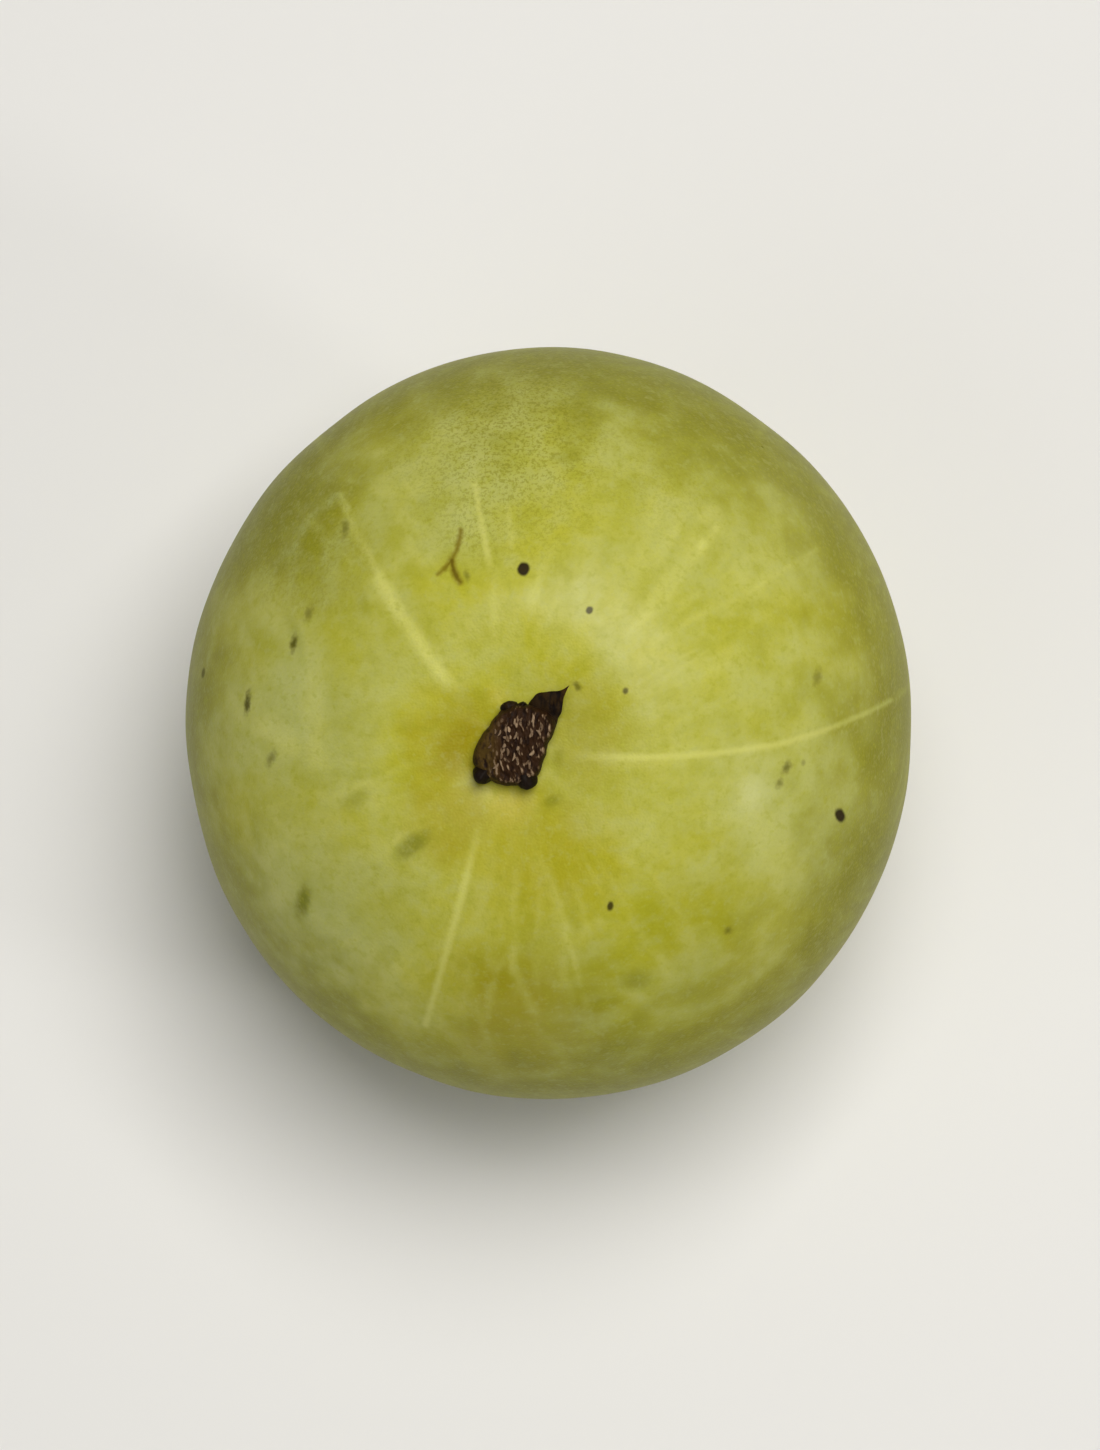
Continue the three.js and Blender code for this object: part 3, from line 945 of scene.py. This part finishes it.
def make_stump():
    """The stump of the stalk: a shield-shaped, fibrous torn end on a low ridged wall."""
    points, pale = [], []
    rings = stump_rings()
    for share, up, tornness in rings:
        for step in range(STUMP_AROUND):
            direction = 2 * math.pi * step / STUMP_AROUND
            ahead = Vector((math.cos(direction), math.sin(direction)))
            ridge = noise.noise(Vector((*(ahead * 5), up * 1.5)))
            ragged = noise.noise(Vector((*(ahead * 2.4), 4.0)))
            radius = stump_radius(direction) * share + (0.06 * ridge + 0.06 * ragged) * share**2
            x, y = ahead * radius + STUMP_TOP_SHIFT * up
            relief, crest = torn_end(x, y)
            z = up * (STUMP_HEIGHT + STUMP_TOP_SLANT * y) + relief * tornness
            points.append((x, y, SCAR_HEIGHT + z - 0.10 * (1 - up) ** 6))
            pale.append(crest * soft_step(tornness, 0.5, 1.0))
    faces = loft_faces(len(rings), STUMP_AROUND)
    stump = make_piece("stalk_stump", points, faces, stump_material(), "stem_stump")
    add_values(stump, "paleness", pale)


def splinter(middle, length, width, turn, rise):
    """Rings of points of one torn fibre that lies on the stump's end and lifts at its ends."""
    ahead = Vector((math.cos(turn), math.sin(turn), 0))
    across = Vector((-ahead.y, ahead.x, 0))
    points = []
    for along in SPLINTER_RINGS:
        fullness = max(0.15, math.sqrt(1 - 0.97 * along**2))
        centre = middle + ahead * along * length / 2 + across * 0.12 * length * along**2
        centre.z += rise * along**2
        for step in range(SPLINTER_SIDES):
            v = 2 * math.pi * step / SPLINTER_SIDES
            side = across * math.cos(v) - Vector((0, 0, 1)) * math.sin(v) * 0.6
            points.append(centre + side * fullness * width / 2)
    return points


def make_fibres():
    """The loose torn fibres on the stump's end, thickest in its middle and on its right."""
    draw = random.Random(11)
    points, faces, pale = [], [], []
    splinter_faces = loft_faces(len(SPLINTER_RINGS), SPLINTER_SIDES)
    for _ in range(FIBRE_DRAWS):
        x, y = draw.uniform(-1.5, 1.8), draw.uniform(-1.7, 1.7)
        edge = stump_radius(math.atan2(y, x)) * STUMP_TOP_SHARE * 0.9
        relief, crest = torn_end(x, y)
        if math.hypot(x, y) > edge or draw.random() > crest * 0.6 + 0.03:
            continue
        height = dome(math.hypot(x, y) / stump_radius(math.atan2(y, x)))
        z = height * (STUMP_HEIGHT + STUMP_TOP_SLANT * y) + relief + draw.uniform(-0.01, 0.03)
        turn = math.radians(draw.gauss(88 + 14 * y, 24))
        length, width = draw.uniform(0.16, 0.42), draw.uniform(0.09, 0.17)
        made = splinter(Vector((x, y, SCAR_HEIGHT + z)), length, width, turn, 0.03)
        faces += [tuple(len(points) + corner for corner in face) for face in splinter_faces]
        points += made
        # Their paleness is partly fresh fibre and partly painted glints.
        pale += [0.25 + 0.75 * draw.random() ** 1.4] * len(made)
    piece = make_piece("torn_fibres", points, faces, fibre_material(), None)
    add_values(piece, "paleness", pale)


def make_lobe(index, direction, foot, reach, rise, thickness, left_edge, right_edge, browned):
    """One dried calyx lobe, shrivelled: a knob that hugs the stump, or the long pointed one. It is
    as brown as `browned` says at its foot and at its tip."""
    turn = Matrix.Rotation(math.radians(direction), 3, "Z")
    steps = len(left_edge) - 1
    widest = max(a + b for a, b in zip(left_edge, right_edge))
    points, tone = [], []
    for ring in range(LOBE_RINGS):
        along = 0.998 * math.sin(math.pi / 2 * ring / (LOBE_RINGS - 1))
        closing = math.sqrt(1 - along**6)
        left, right = (smooth_through(edge, along * steps) * closing for edge in (left_edge, right_edge))
        half_width, offset = (left + right) / 2, (left - right) / 2
        half_height = thickness / 2 * math.sqrt(max(left + right, 0) / widest)
        centre = Vector((foot + (reach - foot) * along, offset, thickness / 2 + rise * along**1.8))
        for step in range(LOBE_AROUND):
            v = -2 * math.pi * step / LOBE_AROUND
            across, up = math.cos(v) * half_width, math.sin(v) * half_height
            point = centre + Vector((0, across, up))
            wrinkle = noise.noise(point * 1.9 + Vector((index * 3, 0, 0)))
            fold = noise.noise(Vector((across * 5, along * 1.2, index)))
            point += Vector((0, across, up)) * (0.22 * wrinkle + 0.22 * fold)
            points.append(turn @ point + Vector((0, 0, SCAR_HEIGHT)))
            tone.append(browned[0] + (browned[1] - browned[0]) * along)
    name, node = f"dried_lobe_{index}", f"calyx_lobe_{index}"
    faces = loft_faces(LOBE_RINGS, LOBE_AROUND)
    lobe = make_piece(name, points, faces, calyx_material(), node)
    add_values(lobe, "brownness", tone)


def make_dry_grain():
    """Lengthwise grain and pitting of dead, dried plant tissue."""
    inputs = {"Place": "Vector", "Fineness": "Float"}
    graph, given, out = make_group("dry_grain", inputs, {"Grain": "Float", "Pits": "Float"})
    stretched = graph.vector("MULTIPLY", given["Place"], (1.0, 0.35, 0.45))
    graph.feed(out.inputs["Grain"], graph.noise(stretched, given["Fineness"], detail=4, roughness=0.65))
    distance, _ = graph.cells(given["Place"], graph.product(given["Fineness"], 1.4))
    graph.feed(out.inputs["Pits"], graph.step(distance, 0.25, 0.6))
    return out.id_data


def stump_material():
    """Dry stalk: reddish brown with pale torn fibres, partly painted glints, olive to the left, and painted
    shade in its hollows.
    """
    material, graph, shader = make_material("dry_stalk_wood")
    place = place_on_fruit(graph)
    dry = graph.group(dry_grain, {"Place": place, "Fineness": 4.5})
    paleness = graph.node("ShaderNodeAttribute", attribute_name="paleness").outputs["Fac"]
    x = graph.split(place)[0]
    colour = graph.mix(graph.step(x, -0.3, -1.3), BARK_BROWN, BARK_OLIVE)
    colour = graph.mix(graph.step(dry["Grain"], 0.54, 0.36), colour, BARK_DARK)
    # Painted shade: towards the right, wherever it is off the pale crests, the stalk is darkened as if shade
    # lay in its hollows.
    hollow = graph.product(graph.step(paleness, 0.12, 0.0), graph.step(x, -1.1, -0.2), 0.55)
    colour = graph.mix(hollow, colour, BARK_DARK)
    # The pale fibres on the crests are partly painted glints.
    pale = graph.product(paleness, graph.step(dry["Grain"], 0.40, 0.58), 0.85)
    colour = graph.mix(pale, colour, FIBRE_BEIGE_AND_GLINT)
    graph.feed(shader.inputs["Base Color"], colour)
    graph.feed(shader.inputs["Roughness"], graph.total(0.45, graph.product(dry["Grain"], 0.4)))
    height = graph.total(graph.product(dry["Grain"], 1.0), graph.product(dry["Pits"], 0.25))
    bump = graph.node("ShaderNodeBump", {"Strength": 0.8, "Distance": 0.00005, "Height": height})
    graph.feed(shader.inputs["Normal"], bump.outputs[0])
    shader.inputs["Specular IOR Level"].default_value = 0.12
    return material


def fibre_material():
    """Torn fibres: pinkish beige where they are pale, partly as fresh fibre and partly as painted glints, red
    brown where they are not.
    """
    material, graph, shader = make_material("torn_stalk_fibre")
    place = place_on_fruit(graph)
    dry = graph.group(dry_grain, {"Place": place, "Fineness": 6.0})
    paleness = graph.node("ShaderNodeAttribute", attribute_name="paleness").outputs["Fac"]
    share = graph.maths("MULTIPLY", paleness, graph.total(0.4, dry["Grain"]), clamp=True)
    graph.feed(shader.inputs["Base Color"], graph.mix(share, BARK_BROWN, FIBRE_BEIGE_AND_GLINT))
    graph.feed(shader.inputs["Roughness"], graph.total(0.45, graph.product(dry["Grain"], 0.4)))
    shader.inputs["Specular IOR Level"].default_value = 0.12
    return material


def calyx_material():
    """Dried calyx: nearly black where it is curled up and, as painted shade, at the foot of the long lobe;
    olive brown towards a long tip.
    """
    if "dried_calyx" in bpy.data.materials:
        return bpy.data.materials["dried_calyx"]
    material, graph, shader = make_material("dried_calyx")
    place = place_on_fruit(graph)
    dry = graph.group(dry_grain, {"Place": place, "Fineness": 4.0})
    brownness = graph.node("ShaderNodeAttribute", attribute_name="brownness").outputs["Fac"]
    share = graph.product(brownness, graph.step(dry["Grain"], 0.36, 0.62))
    graph.feed(shader.inputs["Base Color"], graph.mix(share, CALYX_BLACK, CALYX_BROWN))
    graph.feed(shader.inputs["Roughness"], graph.total(0.38, graph.product(dry["Grain"], 0.4)))
    height = graph.total(dry["Grain"], graph.product(dry["Pits"], 0.15))
    bump = graph.node("ShaderNodeBump", {"Strength": 0.7, "Distance": 0.00005, "Height": height})
    graph.feed(shader.inputs["Normal"], bump.outputs[0])
    shader.inputs["Specular IOR Level"].default_value = 0.12
    return material


# --- Flower end -----------------------------------------------------------------------------------

STYLE_RADIUS = 0.62
STYLE_AROUND = 48
# Share of the scar's radius, and height there from the bottom of the dimple. The fruit's flower
# end faces down, so the scar stands out where the height is below 0.
STYLE_PROFILE = (
    (0.03, -0.15),
    (0.3, -0.155),
    (0.5, -0.18),
    (0.7, -0.22),
    (0.85, -0.26),
    (1.0, -0.12),
    (1.12, 0.12),
)


def make_style_scar():
    """What is left of the style in the dimple: a tiny ragged dry button, hollow in its middle."""
    pole = float(skin_points(np.array(0.0), np.array(math.pi))[2])
    points = []
    for share, height in STYLE_PROFILE:
        for step in range(STYLE_AROUND):
            direction = 2 * math.pi * step / STYLE_AROUND
            ahead = Vector((math.cos(direction), -math.sin(direction)))
            ragged = noise.noise(Vector((*(ahead * 1.9), share)))
            radius = STYLE_RADIUS * share * (1 + 0.28 * ragged)
            points.append((*(ahead * radius), pole + height * (1 + 0.7 * ragged)))
    faces = loft_faces(len(STYLE_PROFILE), STYLE_AROUND)
    scar = make_piece("style_scar", points, faces, calyx_material(), None)
    add_values(scar, "brownness", [0.7] * len(points))


# --- Floor ----------------------------------------------------------------------------------------

FLOOR_RADIUS = 0.45
SWEEP_RADIUS = 0.45
FLOOR_AROUND = 96


def make_floor():
    """A plain pale table top that curves up all round, far from the fruit, so that it has no edge."""
    material, _, shader = make_material("pale_table_top")
    shader.inputs["Base Color"].default_value = rgb(0.79, 0.78, 0.76)
    shader.inputs["Roughness"].default_value = 0.65
    profile = [(radius, 0.0) for radius in (0.001, 0.15, FLOOR_RADIUS)]
    for turn in np.linspace(0, math.pi / 2, 13)[1:]:
        radius = FLOOR_RADIUS + SWEEP_RADIUS * math.sin(turn)
        profile.append((radius, SWEEP_RADIUS * (1 - math.cos(turn))))
    points = []
    for radius, height in profile:
        for step in range(FLOOR_AROUND):
            direction = 2 * math.pi * step / FLOOR_AROUND
            points.append((radius * math.cos(direction), radius * math.sin(direction), height))
    faces = grid_faces(len(profile), FLOOR_AROUND) + [tuple(range(FLOOR_AROUND))]
    mesh = bpy.data.meshes.new("table_top")
    mesh.from_pydata(points, [], faces)
    mesh.shade_smooth()
    mesh.materials.append(material)
    table_top = bpy.data.objects.new("table_top", mesh)
    bpy.context.scene.collection.objects.link(table_top)


# --- The scene ------------------------------------------------------------------------------------

make_camera()
make_light()
make_floor()
dry_grain = make_dry_grain()
make_skin()
make_stump()
make_fibres()
for index, (lobe, browned) in enumerate(zip(CALYX_LOBES, LOBE_BROWNNESS_AND_FOOT_SHADE), start=1):
    make_lobe(index, *lobe, browned)
make_style_scar()
